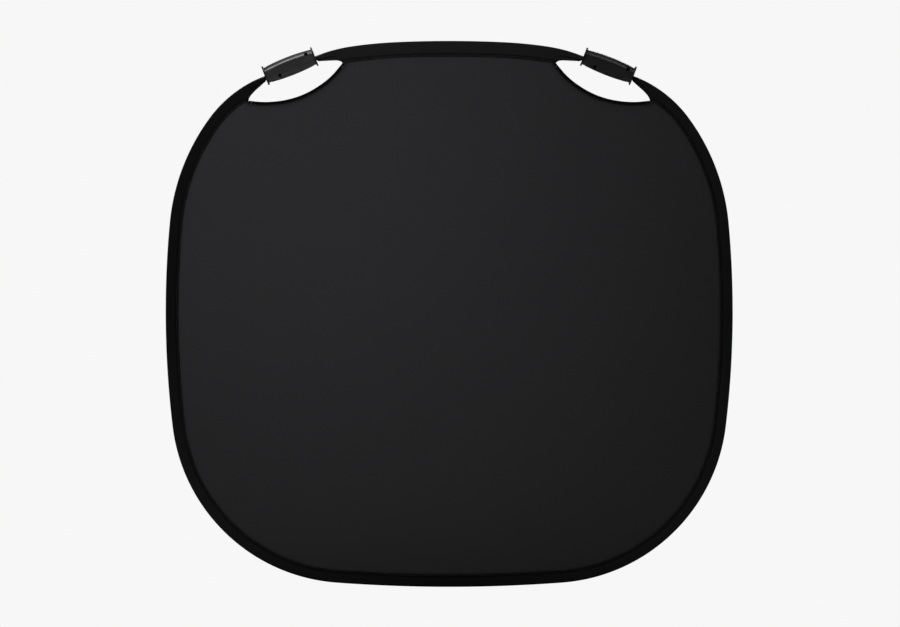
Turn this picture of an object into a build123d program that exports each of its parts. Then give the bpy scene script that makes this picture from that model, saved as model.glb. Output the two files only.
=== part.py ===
"""Collapsible backdrop panel: a sprung steel hoop inside a sewn rim sleeve, two stretched fabrics with a hand
opening at each upper shoulder, and a two-shell grip that turns on the sleeved hoop over each opening.

Frame: the panel stands upright in the XZ plane, front face towards -Y, +Z up, origin at the panel's centre.
The panel bends in half about the vertical line x = 0, so the sheets, sleeves and hoop are halved there."""

from build123d import *
from math import asin, cos, degrees, pi, radians, sin
import os

# ------------------------------------------------------------------ driving dimensions (mm, degrees)
# Half outline of the rim's outer edge, from the top centre round the right side to the bottom centre:
# tangent arcs (radius, turn), with one straight run where the grip sits. The last radius closes the loop.
RIM = [
    (2480.0, 2.60),
    (950.0, 5.65),
    (347.0, 13.15),
    ("line", 118.0),
    (261.0, 32.30),
    (445.0, 31.00),
    (2030.0, 12.20),
    (377.0, 78.80),
    (None, 4.30),
]
FOLD_GAP = 0.15  # each half stops this far from the fold line

# hoop: flat spring-steel band, thin way across the rim
BAND_OUTER = 1.2  # depth of the band's outer face below the rim's outer edge
BAND_THICK = 1.2
BAND_HALF_WIDTH = 4.0
# crimped ferrule over the butted band ends, on the left half near the bottom
FERRULE_X = 110.0
FERRULE_LENGTH = 50.0
FERRULE_WALL = 0.5
FERRULE_SLIP = 0.05
BAND_END_GAP = 0.6

# fabrics
FABRIC_THICK = 0.6
FABRIC_GAP = 0.05  # each fabric's inner face from the mid-plane
FABRIC_EDGE = 14.5  # how far the fabric's edge lies inside the rim's outer edge

# rim sleeve: folded tape round the hoop, sewn through both fabrics at its inner edge
TAPE = 0.6
SLEEVE_HALF_THICK = 5.2
SLEEVE_TOP_WIDTH = 33.0  # between the grips
SLEEVE_LOWER_WIDTH = 27.0  # from grip to grip round the sides and bottom
SEAM_HALF_THICK = FABRIC_GAP + FABRIC_THICK + TAPE
# bunched sleeve where it runs through a grip
BUNCH_TOP, BUNCH_DEPTH, BUNCH_HALF_WIDTH = 0.2, 5.0, 5.0

# hand opening (right side; the left mirrors it): lower edge as x, z; upper edge as distance along the rim, depth
OPENING_LOWER = [
    (403.0, 449.6),
    (385.0, 449.2),
    (367.0, 450.4),
    (348.0, 453.2),
    (328.0, 458.2),
    (307.0, 466.0),
    (286.0, 477.0),
    (266.0, 490.4),
    (249.0, 505.0),
    (236.5, 519.0),
]
OPENING_OUTER_TIP = (460.0, 31.0)
OPENING_INNER_TIP = (234.0, 31.0)
OPENING_UPPER_OUTER = [(452.0, 25.6), (442.0, 22.2), (430.0, 18.8), (419.0, 16.2), (410.0, 12.6)]
OPENING_UPPER_INNER = [(280.0, 12.6), (272.0, 15.8), (262.0, 19.0), (252.0, 21.2), (242.0, 24.6)]
OPENING_GRIP_DEPTH = 8.0
HEM_WIDTH = 8.0
HEM_TUCK = 0.7  # the fabric's cut edge lies this far inside the folded hem

# grips (local frame: X along the grip, Y to the back, Z away from the panel's centre)
GRIP_S = 344.9  # where the grip's middle sits along the rim
GRIP_HALF_LENGTH = 57.0
BARREL_HALF_LENGTH = 54.0
BARREL_MID_HALF_HEIGHT = 19.7
BARREL_END_HALF_HEIGHT = 16.2
BARREL_HALF_DEPTH = 15.5
BARREL_CHAMFER = 7.6
BARREL_UPPER_FILLET = 7.0
BARREL_LOWER_FILLET = 2.2
FLANGE_THICK = 3.4
FLANGE_HALF_HEIGHT = 20.6
FLANGE_HALF_DEPTH = 16.7
FLANGE_CHAMFER = 8.6
NECK_GROOVE_AT, NECK_GROOVE_WIDTH, NECK_GROOVE_DEPTH = 48.6, 1.4, 0.9
SWIVEL_Z = -2.7  # the swivel axis: the middle of the bunched sleeve
LINER_RADIUS = 6.2
LINER_HALF_LENGTH = 56.0
BORE_RADIUS = 6.4
SHELL_WALL = 2.6
BORE_WALL = 2.0
SCREWS = [(-26.6, -11.6), (40.5, 10.0)]
SCREW_RECESS_RADIUS = 4.0
SCREW_HEAD_RADIUS = 3.3
SCREW_HEAD_HEIGHT = 2.6
SCREW_SEAT_Y = -9.5
SCREW_SHANK_RADIUS = 1.25
SCREW_TIP_Y = 10.5
SCALLOPS = [-36.0, -13.2, 9.2, 32.2]
SCALLOP_RADIUS = 45.0
SCALLOP_DEPTH = 1.15
BADGE = (-3.0, 2.4, 62.0, 9.0, 0.5)  # middle x, middle z, length, height, depth of the plain recess
SHADOW_GROOVES = [(-40.0, -10.4, 16.0), (31.5, -10.0, 15.0)]  # middle x, middle z, length, on the front face
GROOVE_WIDTH, GROOVE_DEPTH = 1.3, 0.8
RIGHT_GRIP_TURN = 9.0  # the right grip is at rest turned this far about its own length, front face downwards


# ------------------------------------------------------------------ the rim line
def solve_rim():
    """Segments of the half outline, each (kind, centre or start x, z, radius, turn at start, at end, s at start, at end)."""
    x = t = 0.0
    for a, b in RIM:
        if a == "line":
            x += b * cos(radians(t))
        elif a is None:
            closing = -x / (sin(radians(t + b)) - sin(radians(t)))
        else:
            x += a * (sin(radians(t + b)) - sin(radians(t)))
            t += b
    segments, x, z, t, s = [], 0.0, 0.0, 0.0, 0.0
    for a, b in RIM:
        if a == "line":
            segments.append(["line", x, z, None, t, t, s, s + b])
            x, z, s = x + b * cos(radians(t)), z - b * sin(radians(t)), s + b
        else:
            r = closing if a is None else a
            cx, cz = x - r * sin(radians(t)), z - r * cos(radians(t))
            segments.append(["arc", cx, cz, r, t, t + b, s, s + r * radians(b)])
            t, s = t + b, s + r * radians(b)
            x, z = cx + r * sin(radians(t)), cz + r * cos(radians(t))
    for g in segments:
        g[2] -= z / 2  # the loop's middle height becomes z = 0
    return segments, s


SEGMENTS, HALF_LENGTH = solve_rim()


def rim(s, depth=0.0):
    """The point at distance s along the rim's outer edge from the top centre, depth inwards, as x, z."""
    for kind, cx, cz, r, t0, t1, s0, s1 in SEGMENTS:
        if s <= s1 + 1e-6:
            break
    if kind == "line":
        t = radians(t0)
        return (
            cx + (s - s0) * cos(t) - depth * sin(t),
            cz - (s - s0) * sin(t) - depth * cos(t),
        )
    a = radians(t0) + (s - s0) / r
    return cx + (r - depth) * sin(a), cz + (r - depth) * cos(a)


def sweep_rim(profile, s_from, s_to):
    """One solid: the closed profile of (depth, y) points carried along the rim from s_from to s_to."""
    solid = None
    for kind, cx, cz, r, t0, t1, s0, s1 in SEGMENTS:
        a, b = max(s_from, s0), min(s_to, s1)
        if b - a < 1e-4:
            continue
        if kind == "line":
            at = [rim(a + 1e-9, d) for d, _ in profile]
            pts = [(x, y, z) for (x, z), (_, y) in zip(at, profile)]
            t = radians(t0)
            piece = extrude(
                make_face(Polyline(*pts, close=True)),
                amount=b - a,
                dir=(cos(t), 0, -sin(t)),
            )
        else:
            t = radians(t0) + (a - s0) / r
            pts = [
                (cx + (r - d) * sin(t), y, cz + (r - d) * cos(t)) for d, y in profile
            ]
            piece = revolve(
                make_face(Polyline(*pts, close=True)),
                Axis((cx, 0, cz), (0, 1, 0)),
                degrees((b - a) / r),
            )
        solid = piece if solid is None else solid + piece
    return solid


def rim_edges(depth, s_from, s_to):
    """Edges in the XZ plane along the rim at one depth."""
    edges = []
    for kind, cx, cz, r, t0, t1, s0, s1 in SEGMENTS:
        a, b = max(s_from, s0), min(s_to, s1)
        if b - a < 1e-4:
            continue
        p, m, q = (
            (x, 0, z) for x, z in (rim(s, depth) for s in (a + 1e-9, (a + b) / 2, b))
        )
        edges.append(Line(p, q) if kind == "line" else ThreePointArc(p, m, q))
    return edges


def plate(edges, y_from, y_to):
    """A flat solid between two Y planes, from a closed loop of edges in the XZ plane."""
    return Pos(0, y_from, 0) * extrude(
        make_face(edges), amount=y_to - y_from, dir=(0, 1, 0)
    )


def box_profile(d0, d1, half):
    return [(d0, -half), (d1, -half), (d1, half), (d0, half)]


def mirrored(shape):
    return mirror(shape, about=Plane.YZ)


# ------------------------------------------------------------------ hand opening outlines (right side)
def shifted_lower(shift):
    """The opening's lower edge, from the outer tip to the inner tip, moved outwards by shift."""
    raw = [rim(*OPENING_OUTER_TIP), *OPENING_LOWER, rim(*OPENING_INNER_TIP)]
    if not shift:
        return [(x, 0, z) for x, z in raw]
    out = []
    for i, (x, z) in enumerate(raw):
        (xa, za), (xb, zb) = raw[max(i - 1, 0)], raw[min(i + 1, len(raw) - 1)]
        dx, dz = xb - xa, zb - za
        n = (dx * dx + dz * dz) ** 0.5
        # the loop runs towards -x, and the fabric lies below it
        out.append((x - shift * dz / n, 0, z - shift * abs(dx) / n))
    return out


def opening_edges():
    t = radians(SEGMENTS[3][4])
    along = (cos(t), 0, -sin(t))
    s_in, s_out = SEGMENTS[3][6], SEGMENTS[3][7]
    p3 = lambda q: (q[0], 0, q[1])
    inner_end, outer_end = (
        p3(rim(s_in + 2, OPENING_GRIP_DEPTH)),
        p3(rim(s_out - 2, OPENING_GRIP_DEPTH)),
    )
    outer = [
        outer_end,
        *[p3(rim(*q)) for q in reversed(OPENING_UPPER_OUTER)],
        p3(rim(*OPENING_OUTER_TIP)),
    ]
    inner = [
        p3(rim(*OPENING_INNER_TIP)),
        *[p3(rim(*q)) for q in reversed(OPENING_UPPER_INNER)],
        inner_end,
    ]
    first, last = Vector(*outer[-1]) - Vector(*outer[-2]), Vector(*inner[1]) - Vector(
        *inner[0]
    )
    return [
        Spline(*shifted_lower(0)),
        Spline(
            *inner, tangents=(tuple(last.normalized()), along)
        ),
        Line(inner_end, outer_end),
        Spline(*outer, tangents=(along, tuple(first.normalized()))),
    ]


opening = plate(opening_edges(), -12, 12)

lower_cut = shifted_lower(HEM_TUCK)
fabric_cut = plate(
    [
        Spline(*lower_cut),
        Polyline(
            lower_cut[-1],
            (rim(228, 20)[0], 0, rim(228, 20)[1]),
            (rim(228, -6)[0], 0, rim(228, -6)[1]),
            (rim(345, -6)[0], 0, rim(345, -6)[1]),
            (rim(466, -6)[0], 0, rim(466, -6)[1]),
            (rim(466, 20)[0], 0, rim(466, 20)[1]),
            lower_cut[0],
        ),
    ],
    -12,
    12,
)

# ------------------------------------------------------------------ soft parts and hoop, right half
S0, S1 = FOLD_GAP, HALF_LENGTH - FOLD_GAP
GRIP_IN, GRIP_OUT = GRIP_S - GRIP_HALF_LENGTH - 3.0, GRIP_S + GRIP_HALF_LENGTH + 3.0


def sleeve_profile(width):
    out, seam, t = SLEEVE_HALF_THICK, SEAM_HALF_THICK, TAPE
    upper = [
        (0.0, out - 1.0),
        (1.0, out),
        (3.4, out),
        (width - 6.0, seam + 0.2),
        (width, seam),
        (width, seam - t),
        (width - 6.4, seam + 0.2 - t),
        (3.2, out - t),
        (t, out - t),
    ]
    return upper + [(d, -y) for d, y in reversed(upper)]


def bunch_profile():
    a, b = BUNCH_TOP, BUNCH_TOP + BUNCH_DEPTH
    i, h = BAND_OUTER - 0.1, BUNCH_HALF_WIDTH
    j, k = BAND_OUTER + BAND_THICK + 0.1, BAND_HALF_WIDTH + 0.1
    return box_profile(a, b, h), box_profile(i, j, k)


def bunched(s_from, s_to):
    outside, inside = bunch_profile()
    return sweep_rim(outside, s_from, s_to) - sweep_rim(inside, s_from, s_to)


# the full sleeve keeps clear of the band, and its bunched run through the grip is a tube round the band
band_room = sweep_rim(
    box_profile(
        BAND_OUTER - 0.1, BAND_OUTER + BAND_THICK + 0.1, BAND_HALF_WIDTH + 0.1
    ),
    GRIP_IN - 3,
    GRIP_OUT + 3,
)
top_sleeve = sweep_rim(sleeve_profile(SLEEVE_TOP_WIDTH), S0, GRIP_IN) - opening
top_sleeve = top_sleeve + bunched(GRIP_IN - 2, GRIP_S - 0.05)
top_sleeve = top_sleeve - band_room
lower_sleeve = sweep_rim(sleeve_profile(SLEEVE_LOWER_WIDTH), GRIP_OUT, S1) - opening
lower_sleeve = lower_sleeve + bunched(GRIP_S + 0.05, GRIP_OUT + 2)
lower_sleeve = lower_sleeve - band_room

band_profile = box_profile(BAND_OUTER, BAND_OUTER + BAND_THICK, BAND_HALF_WIDTH)
hoop_right = sweep_rim(band_profile, S0, S1)


def bottom_s(x):
    """Distance along the rim of the point at this x on the bottom run."""
    r = SEGMENTS[-1][3]
    return HALF_LENGTH - r * asin(x / r)


hoop_left = Compound(
    children=[
        mirrored(sweep_rim(band_profile, S0, bottom_s(FERRULE_X + BAND_END_GAP / 2))),
        mirrored(sweep_rim(band_profile, bottom_s(FERRULE_X - BAND_END_GAP / 2), S1)),
    ]
)
f0, f1 = bottom_s(FERRULE_X + FERRULE_LENGTH / 2), bottom_s(
    FERRULE_X - FERRULE_LENGTH / 2
)
inside = FERRULE_SLIP
ferrule = sweep_rim(
    box_profile(
        BAND_OUTER - inside - FERRULE_WALL,
        BAND_OUTER + BAND_THICK + inside + FERRULE_WALL,
        BAND_HALF_WIDTH + inside + FERRULE_WALL,
    ),
    f0,
    f1,
) - sweep_rim(
    box_profile(
        BAND_OUTER - inside, BAND_OUTER + BAND_THICK + inside, BAND_HALF_WIDTH + inside
    ),
    f0 - 1,
    f1 + 1,
)
hoop_ferrule = mirrored(ferrule)


def fabric(y_from, y_to):
    top, bottom = rim(S0, FABRIC_EDGE), rim(S1, FABRIC_EDGE)
    edges = rim_edges(FABRIC_EDGE, S0, S1)
    edges.append(Line((bottom[0], 0, bottom[1]), (top[0], 0, top[1])))
    return plate(edges, y_from, y_to) - fabric_cut


front_fabric = fabric(-FABRIC_GAP - FABRIC_THICK, -FABRIC_GAP)
back_fabric = fabric(FABRIC_GAP, FABRIC_GAP + FABRIC_THICK)


def strip(shift_from, shift_to, half):
    a, b = shifted_lower(shift_from), shifted_lower(shift_to)
    return plate(
        [Spline(*a), Line(a[-1], b[-1]), Spline(*b), Line(b[0], a[0])], -half, half
    )


opening_hem = strip(0, HEM_WIDTH, SEAM_HALF_THICK) - strip(
    HEM_TUCK, HEM_WIDTH + 3, SEAM_HALF_THICK - TAPE
)
opening_hem = opening_hem - sweep_rim(box_profile(-8, SLEEVE_TOP_WIDTH, 8), 150, 300)
opening_hem = opening_hem - sweep_rim(box_profile(-8, SLEEVE_LOWER_WIDTH, 8), 400, 520)
opening_hem = max(opening_hem.solids(), key=lambda q: q.volume)


# ------------------------------------------------------------------ grips, in their local frame
def silhouette(half_length, mid, end, y_half):
    """A bar with barrel-shaped top and bottom, as a solid."""
    edges = [
        ThreePointArc((-half_length, 0, end), (0, 0, mid), (half_length, 0, end)),
        Line((half_length, 0, end), (half_length, 0, -end)),
        ThreePointArc((half_length, 0, -end), (0, 0, -mid), (-half_length, 0, -end)),
        Line((-half_length, 0, -end), (-half_length, 0, end)),
    ]
    return plate(edges, -y_half, y_half)


def long_edges(solid):
    return [e for e in solid.edges() if e.length > 60]


def tube(radius, x_from, x_to, z=0.0):
    """A cylinder along local X."""
    return Pos((x_from + x_to) / 2, 0, z) * (
        Rot(0, 90, 0) * Cylinder(radius, x_to - x_from)
    )


def peg(radius, x, z, y_from, y_to):
    """A cylinder along local Y."""
    return Pos(x, (y_from + y_to) / 2, z) * (Rot(90, 0, 0) * Cylinder(radius, y_to - y_from))


def octagon(half_y, half_z, chamfer_size, x_from, x_to):
    y, z, c = half_y, half_z, chamfer_size
    pts = [
        (x_from, y - c, z),
        (x_from, y, z - c),
        (x_from, y, -z + c),
        (x_from, y - c, -z),
        (x_from, -y + c, -z),
        (x_from, -y, -z + c),
        (x_from, -y, z - c),
        (x_from, -y + c, z),
    ]
    return extrude(
        make_face(Polyline(*pts, close=True)), amount=x_to - x_from, dir=(1, 0, 0)
    )


def make_grip():
    barrel = silhouette(
        BARREL_HALF_LENGTH,
        BARREL_MID_HALF_HEIGHT,
        BARREL_END_HALF_HEIGHT,
        BARREL_HALF_DEPTH,
    )
    barrel = chamfer(long_edges(barrel), BARREL_CHAMFER)
    barrel = fillet([e for e in long_edges(barrel) if e.center().Z < 0], BARREL_LOWER_FILLET)
    barrel = fillet([e for e in long_edges(barrel) if e.center().Z > 5], BARREL_UPPER_FILLET)
    for side in (-1, 1):
        x0 = side * NECK_GROOVE_AT
        lo, hi = x0 - NECK_GROOVE_WIDTH / 2, x0 + NECK_GROOVE_WIDTH / 2
        z_here = (
            BARREL_MID_HALF_HEIGHT
            - (BARREL_MID_HALF_HEIGHT - BARREL_END_HALF_HEIGHT)
            * (NECK_GROOVE_AT / BARREL_HALF_LENGTH) ** 2
        )
        ring = octagon(30, 30, 5, lo, hi) - octagon(
            BARREL_HALF_DEPTH - NECK_GROOVE_DEPTH,
            z_here - NECK_GROOVE_DEPTH,
            BARREL_CHAMFER - 0.4,
            lo,
            hi,
        )
        barrel = barrel - ring
    # finger scallops along both lower bevels
    mid, end = BARREL_MID_HALF_HEIGHT, BARREL_END_HALF_HEIGHT
    for x in SCALLOPS:
        z_edge = -(mid - (mid - end) * (x / BARREL_HALF_LENGTH) ** 2)
        for face in (-1, 1):
            y_mid = face * (BARREL_HALF_DEPTH - BARREL_CHAMFER / 2)
            z_mid = z_edge + BARREL_CHAMFER / 2
            away = SCALLOP_RADIUS - SCALLOP_DEPTH
            n = 0.5**0.5
            tool = Rot(-45 * face, 0, 0) * Cylinder(SCALLOP_RADIUS, 60)
            tool = Pos(x, y_mid + face * n * away, z_mid - n * away) * tool
            barrel = barrel - tool
    flanges = None
    for side in (-1, 1):
        lo, hi = sorted((side * GRIP_HALF_LENGTH, side * (GRIP_HALF_LENGTH - FLANGE_THICK)))
        f = octagon(FLANGE_HALF_DEPTH, FLANGE_HALF_HEIGHT, FLANGE_CHAMFER, lo, hi)
        f = fillet([e for e in f.edges() if abs(e.length - FLANGE_THICK) < 1e-3], 4.0)
        rims = [
            e
            for e in f.edges()
            if abs(abs(e.center().X) - GRIP_HALF_LENGTH) < 1e-3
            or abs(abs(e.center().X) - GRIP_HALF_LENGTH + FLANGE_THICK) < 1e-3
        ]
        f = fillet(rims, 0.9)
        barrel = barrel + f
    # blind badge recess on the front face
    bx, bz, bl, bh, bd = BADGE
    recess = Pos(bx, -BARREL_HALF_DEPTH + bd / 2, bz) * Box(bl, bd, bh)
    recess = fillet([e for e in recess.edges() if abs(e.length - bd) < 1e-3], 2.0)
    barrel = barrel - recess
    for gx, gz, gl in SHADOW_GROOVES:
        groove = Pos(gx, -BARREL_HALF_DEPTH + GROOVE_DEPTH / 2, gz) * Box(gl, GROOVE_DEPTH, GROOVE_WIDTH)
        barrel = barrel - fillet([e for e in groove.edges() if abs(e.length - GROOVE_DEPTH) < 1e-3], 0.6)

    # hollow inside, with a tube round the liner, screw bosses and two ribs
    w = SHELL_WALL
    cavity = silhouette(
        BARREL_HALF_LENGTH - 4.5, mid - w, end - w + 0.6, BARREL_HALF_DEPTH - w
    )
    cavity = chamfer(long_edges(cavity), BARREL_CHAMFER - 0.4)
    keep = tube(BORE_RADIUS + BORE_WALL, -60, 60, SWIVEL_Z)
    for x, z in SCREWS:
        keep = keep + peg(SCREW_RECESS_RADIUS + 1.6, x, z, -20, 0)
        keep = keep + peg(3.6, x, z, 0, 20)
    for x in (-12.0, 12.0):
        keep = keep + Pos(x, 0, 0) * Box(1.8, 60, 60)
    body = barrel - (cavity - keep)
    body = body - tube(BORE_RADIUS, -60, 60, SWIVEL_Z)

    # a fine seam line runs round the outside where the shells meet
    front_half = Pos(0, -20, 0) * Box(160, 40, 80)
    back_half = Pos(0, 20, 0) * Box(160, 40, 80)
    front, back = body & front_half, body & back_half
    inner_line = silhouette(BARREL_HALF_LENGTH - 1.4, mid - 1.2, end - 1.2, 0.25)
    seam = Box(160, 0.5, 80) - inner_line
    front, back = front - seam, back - seam
    screws = []
    for x, z in SCREWS:
        front = front - peg(SCREW_RECESS_RADIUS, x, z, -25, SCREW_SEAT_Y)
        front = front - peg(SCREW_SHANK_RADIUS + 0.1, x, z, -25, 1)
        back = back - peg(SCREW_SHANK_RADIUS, x, z, -1, SCREW_TIP_Y + 0.5)
        s = peg(SCREW_HEAD_RADIUS, x, z, SCREW_SEAT_Y - SCREW_HEAD_HEIGHT, SCREW_SEAT_Y)
        s = s + peg(SCREW_SHANK_RADIUS, x, z, SCREW_SEAT_Y - 0.5, SCREW_TIP_Y)
        socket = Pos(x, SCREW_SEAT_Y - SCREW_HEAD_HEIGHT, z) * (
            Rot(90, 0, 0) * extrude(RegularPolygon(1.5, 6), 1.5, both=True)
        )
        screws.append(s - socket)
    front = max(front.solids(), key=lambda q: q.volume)
    back = max(back.solids(), key=lambda q: q.volume)
    return front, back, screws


def make_liners():
    """Two rubber half liners that close round the bunched sleeve."""
    core = tube(LINER_RADIUS, -LINER_HALF_LENGTH, LINER_HALF_LENGTH, SWIVEL_Z)
    hole = Pos(0, 0, -BUNCH_TOP - BUNCH_DEPTH / 2) * Box(
        130, 2 * BUNCH_HALF_WIDTH, BUNCH_DEPTH
    )
    core = core - hole
    front = core & (Pos(0, -20.02, 0) * Box(160, 40, 80))
    back = core & (Pos(0, 20.02, 0) * Box(160, 40, 80))
    return front, back


def grip_place(side, turn=0.0):
    """From a grip's local frame to the panel; side -1 is left. The rim's outer edge passes through local z = 0."""
    x, z = rim(GRIP_S)
    tilt = SEGMENTS[3][4]
    place = Pos(side * x, 0, z) * Rot(0, side * tilt, 0)
    return place * (Pos(0, 0, SWIVEL_Z) * Rot(turn, 0, 0) * Pos(0, 0, -SWIVEL_Z))


front_shell, back_shell, screw_pair = make_grip()
liner_front, liner_back = make_liners()
left, right = grip_place(-1), grip_place(1, RIGHT_GRIP_TURN)
right_still = grip_place(1)

# ------------------------------------------------------------------ write the nodes
nodes = {
    "hoop_left": hoop_left,
    "hoop_right": hoop_right,
    "hoop_ferrule": hoop_ferrule,
    "front_fabric_left": mirrored(front_fabric),
    "front_fabric_right": front_fabric,
    "back_fabric_left": mirrored(back_fabric),
    "back_fabric_right": back_fabric,
    "top_sleeve_left": mirrored(top_sleeve),
    "top_sleeve_right": top_sleeve,
    "lower_sleeve_left": mirrored(lower_sleeve),
    "lower_sleeve_right": lower_sleeve,
    "opening_hem_left": mirrored(opening_hem),
    "opening_hem_right": opening_hem,
    "left_grip_front_shell": left * front_shell,
    "left_grip_back_shell": left * back_shell,
    "left_grip_screws": Compound(children=[left * s for s in screw_pair]),
    "left_grip_liner_front": left * liner_front,
    "left_grip_liner_back": left * liner_back,
    "right_grip_front_shell": right * front_shell,
    "right_grip_back_shell": right * back_shell,
    "right_grip_screws": Compound(children=[right * s for s in screw_pair]),
    "right_grip_liner_front": right_still * liner_front,
    "right_grip_liner_back": right_still * liner_back,
}

os.makedirs("parts", exist_ok=True)
for name, shape in nodes.items():
    export_step(shape, f"parts/{name}.step")

gx, gz = rim(GRIP_S)
print("rim half length", round(HALF_LENGTH, 2), "closing radius", round(SEGMENTS[-1][3], 1))
print("rim top and bottom z", round(rim(0)[1], 3), round(rim(HALF_LENGTH)[1], 3))
print("grip middle", round(gx, 3), round(gz, 3), "tilt", round(SEGMENTS[3][4], 3))
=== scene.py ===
import math

import bpy
import numpy as np
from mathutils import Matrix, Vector
from mathutils.geometry import delaunay_2d_cdt
from mathutils.kdtree import KDTree


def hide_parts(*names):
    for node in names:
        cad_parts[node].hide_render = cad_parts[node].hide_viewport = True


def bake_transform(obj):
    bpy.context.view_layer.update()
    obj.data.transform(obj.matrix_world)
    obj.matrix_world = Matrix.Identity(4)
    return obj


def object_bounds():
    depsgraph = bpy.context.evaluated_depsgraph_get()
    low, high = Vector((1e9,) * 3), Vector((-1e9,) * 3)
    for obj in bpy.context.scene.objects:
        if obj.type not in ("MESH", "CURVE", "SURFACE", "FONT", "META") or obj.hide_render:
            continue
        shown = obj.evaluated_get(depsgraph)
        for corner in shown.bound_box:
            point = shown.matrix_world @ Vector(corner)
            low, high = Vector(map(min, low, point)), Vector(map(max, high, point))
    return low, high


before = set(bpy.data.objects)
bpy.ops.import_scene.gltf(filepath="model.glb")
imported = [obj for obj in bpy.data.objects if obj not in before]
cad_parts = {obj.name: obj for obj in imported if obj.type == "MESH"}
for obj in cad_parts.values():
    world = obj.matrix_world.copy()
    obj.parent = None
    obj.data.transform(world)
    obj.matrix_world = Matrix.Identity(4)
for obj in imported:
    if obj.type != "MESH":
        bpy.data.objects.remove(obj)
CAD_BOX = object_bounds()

MM = 0.001
RNG = np.random.default_rng(625)

# ============================================================ the rim line, in millimetres, as the CAD has it
RIM = [
    (2480.0, 2.60), (950.0, 5.65), (347.0, 13.15), ("line", 118.0), (261.0, 32.30),
    (445.0, 31.00), (2030.0, 12.20), (377.0, 78.80), (None, 4.30),
]


def solve_rim():
    x = t = 0.0
    for a, b in RIM:
        if a == "line":
            x += b * math.cos(math.radians(t))
        elif a is None:
            closing = -x / (math.sin(math.radians(t + b)) - math.sin(math.radians(t)))
        else:
            x += a * (math.sin(math.radians(t + b)) - math.sin(math.radians(t)))
            t += b
    segs, x, z, t, s = [], 0.0, 0.0, 0.0, 0.0
    for a, b in RIM:
        if a == "line":
            segs.append(["line", x, z, 0.0, t, t, s, s + b])
            x, z, s = x + b * math.cos(math.radians(t)), z - b * math.sin(math.radians(t)), s + b
        else:
            r = closing if a is None else a
            cx, cz = x - r * math.sin(math.radians(t)), z - r * math.cos(math.radians(t))
            segs.append(["arc", cx, cz, r, t, t + b, s, s + r * math.radians(b)])
            t, s = t + b, s + r * math.radians(b)
            x, z = cx + r * math.sin(math.radians(t)), cz + r * math.cos(math.radians(t))
    for g in segs:
        g[2] -= z / 2
    return segs, s


SEGS, HALF = solve_rim()
S_GRIP = 344.9           # the grip's middle, along the rim from the top centre
S_IN, S_OUT = S_GRIP - 57.0, S_GRIP + 57.0
TIP_IN, TIP_OUT = 234.0, 460.0
W_TOP, W_LOW = 33.0, 27.0


def rim_frame(t):
    """x, z and the outward normal's x, z, for distances t clockwise from the top centre; negative or past HALF is the left side."""
    t = np.asarray(t, float)
    side = np.where((t < 0) | (t > HALF), -1.0, 1.0)
    s = np.where(t < 0, -t, np.where(t > HALF, 2 * HALF - t, t))
    x, z, nx, nz = (np.zeros_like(s) for _ in range(4))
    for kind, cx, cz, r, t0, t1, s0, s1 in SEGS:
        m = (s >= s0 - 1e-9) & (s <= s1 + 1e-6)
        if kind == "line":
            a = math.radians(t0)
            x[m], z[m] = cx + (s[m] - s0) * math.cos(a), cz - (s[m] - s0) * math.sin(a)
            nx[m], nz[m] = math.sin(a), math.cos(a)
        else:
            a = math.radians(t0) + (s[m] - s0) / r
            x[m], z[m] = cx + r * np.sin(a), cz + r * np.cos(a)
            nx[m], nz[m] = np.sin(a), np.cos(a)
    return x * side, z, nx * side, nz, s, side


def rim_point(s, d):
    x, z, nx, nz, _, _ = rim_frame(np.array([float(s)]))
    return float(x[0] - d * nx[0]), float(z[0] - d * nz[0])


def smooth(a, lo, hi):
    q = np.clip((np.asarray(a, float) - lo) / (hi - lo), 0, 1)
    return q * q * (3 - 2 * q)


def wobble(t, lengths, seed):
    """A gentle random curve along t, a sum of sines of those wavelengths, about -1 to 1."""
    r = np.random.default_rng(seed)
    out = np.zeros_like(np.asarray(t, float))
    for q in lengths:
        out += np.sin(2 * np.pi * np.asarray(t, float) / q + r.random() * 6.283)
    return out / math.sqrt(len(lengths)) * 0.7


# ============================================================ the hand opening's lower edge, from the outer tip to the inner tip
LOWER = [
    rim_point(TIP_OUT, 31.0), (403.0, 449.6), (385.0, 449.2), (367.0, 450.4), (348.0, 453.2), (328.0, 458.2),
    (307.0, 466.0), (286.0, 477.0), (266.0, 490.4), (249.0, 505.0), (236.5, 519.0), rim_point(TIP_IN, 31.0),
]


def spline_through(points, step):
    """Points step apart on a smooth curve through the given ones."""
    p = np.array(points, float)
    chord = np.concatenate([[0], np.cumsum(np.sqrt(np.linalg.norm(np.diff(p, axis=0), axis=1)))])
    n = len(p)
    h = np.diff(chord)
    a, rhs = np.zeros((n, n)), np.zeros((n, 2))
    a[0, 0] = a[-1, -1] = 1.0
    for i in range(1, n - 1):
        a[i, i - 1], a[i, i], a[i, i + 1] = h[i - 1], 2 * (h[i - 1] + h[i]), h[i]
        rhs[i] = 6 * ((p[i + 1] - p[i]) / h[i] - (p[i] - p[i - 1]) / h[i - 1])
    m = np.linalg.solve(a, rhs)
    u = np.linspace(0, chord[-1], 1600)
    k = np.clip(np.searchsorted(chord, u) - 1, 0, n - 2)
    d0, d1 = (u - chord[k])[:, None], (chord[k + 1] - u)[:, None]
    hk = h[k][:, None]
    fine = (m[k] * d1**3 + m[k + 1] * d0**3) / (6 * hk) + (p[k] / hk - m[k] * hk / 6) * d1 + (p[k + 1] / hk - m[k + 1] * hk / 6) * d0
    along = np.concatenate([[0], np.cumsum(np.linalg.norm(np.diff(fine, axis=0), axis=1))])
    at = np.linspace(0, along[-1], max(8, int(along[-1] / step)))
    return np.stack([np.interp(at, along, fine[:, k]) for k in range(2)], axis=1), at


LOWER_LINE, LOWER_AT = spline_through(LOWER, 2.0)
LOWER_LONG = float(LOWER_AT[-1])


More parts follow.
